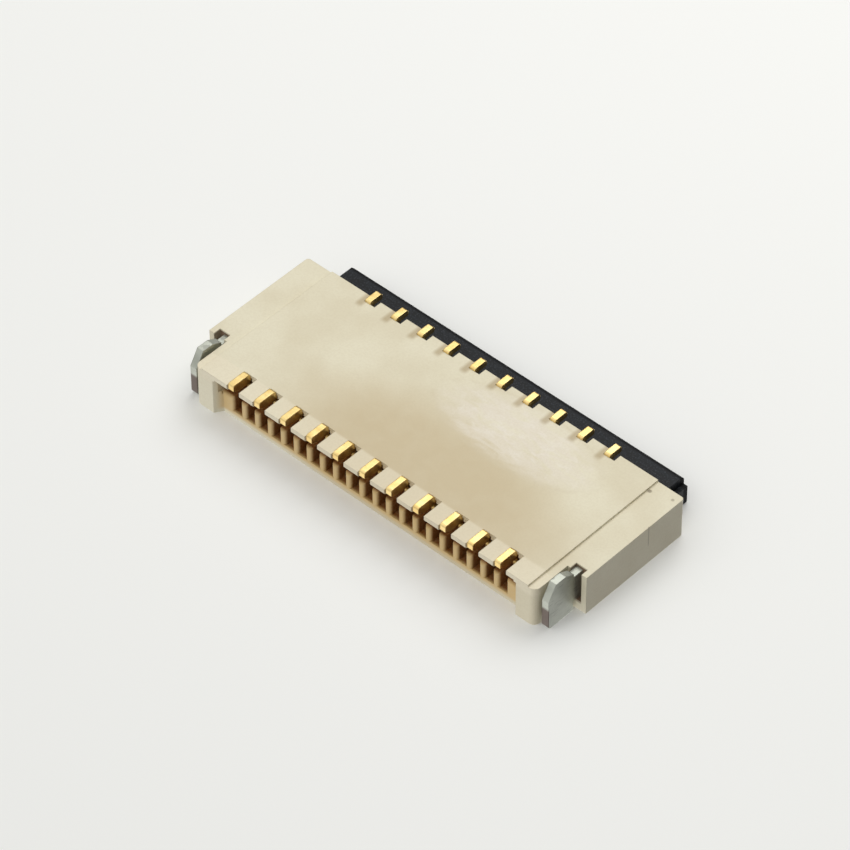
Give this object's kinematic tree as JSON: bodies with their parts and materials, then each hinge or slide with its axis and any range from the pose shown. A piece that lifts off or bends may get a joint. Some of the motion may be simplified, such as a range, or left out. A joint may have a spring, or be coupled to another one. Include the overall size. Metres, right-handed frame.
{
  "type": "flexible circuit connector",
  "caption": "Low surface-mount connector for a flexible printed circuit, with a black rear flip lever, gold contacts with staggered solder tails and side hold-down plates.",
  "frame": {"origin": "middle of the outline with the lever closed, on the board plane", "axes": "+X along the row of contacts, -Y towards the cable, +Y towards the lever, +Z away from the board"},
  "size_m": [0.0086, 0.0038, 0.0009],
  "materials": {
    "housing_resin": "matt moulded liquid-crystal polymer, beige",
    "lever_resin": "matt moulded resin, black",
    "gold_contact": "gold-plated spring alloy, stamped edges",
    "tin_plate": "tin-plated alloy, satin"
  },
  "bodies": {
    "connector": {"housing": "housing_resin", "hold_down_left": "tin_plate", "hold_down_right": "tin_plate", "contact_front_01": "gold_contact", "contact_front_02": "gold_contact", "contact_front_03": "gold_contact", "contact_front_04": "gold_contact", "contact_front_05": "gold_contact", "contact_front_06": "gold_contact", "contact_front_07": "gold_contact", "contact_front_08": "gold_contact", "contact_front_09": "gold_contact", "contact_front_10": "gold_contact", "contact_front_11": "gold_contact", "contact_rear_01": "gold_contact", "contact_rear_02": "gold_contact", "contact_rear_03": "gold_contact", "contact_rear_04": "gold_contact", "contact_rear_05": "gold_contact", "contact_rear_06": "gold_contact", "contact_rear_07": "gold_contact", "contact_rear_08": "gold_contact", "contact_rear_09": "gold_contact", "contact_rear_10": "gold_contact"},
    "lever": {"lever": "lever_resin"}
  },
  "joints": [
    {"name": "lever_hinge", "type": "hinge", "parent": "connector", "child": "lever", "pos_m": [0, 0.00048, 0.00038], "axis": [1, 0, 0], "range_deg": [0, 90]}
  ]
}
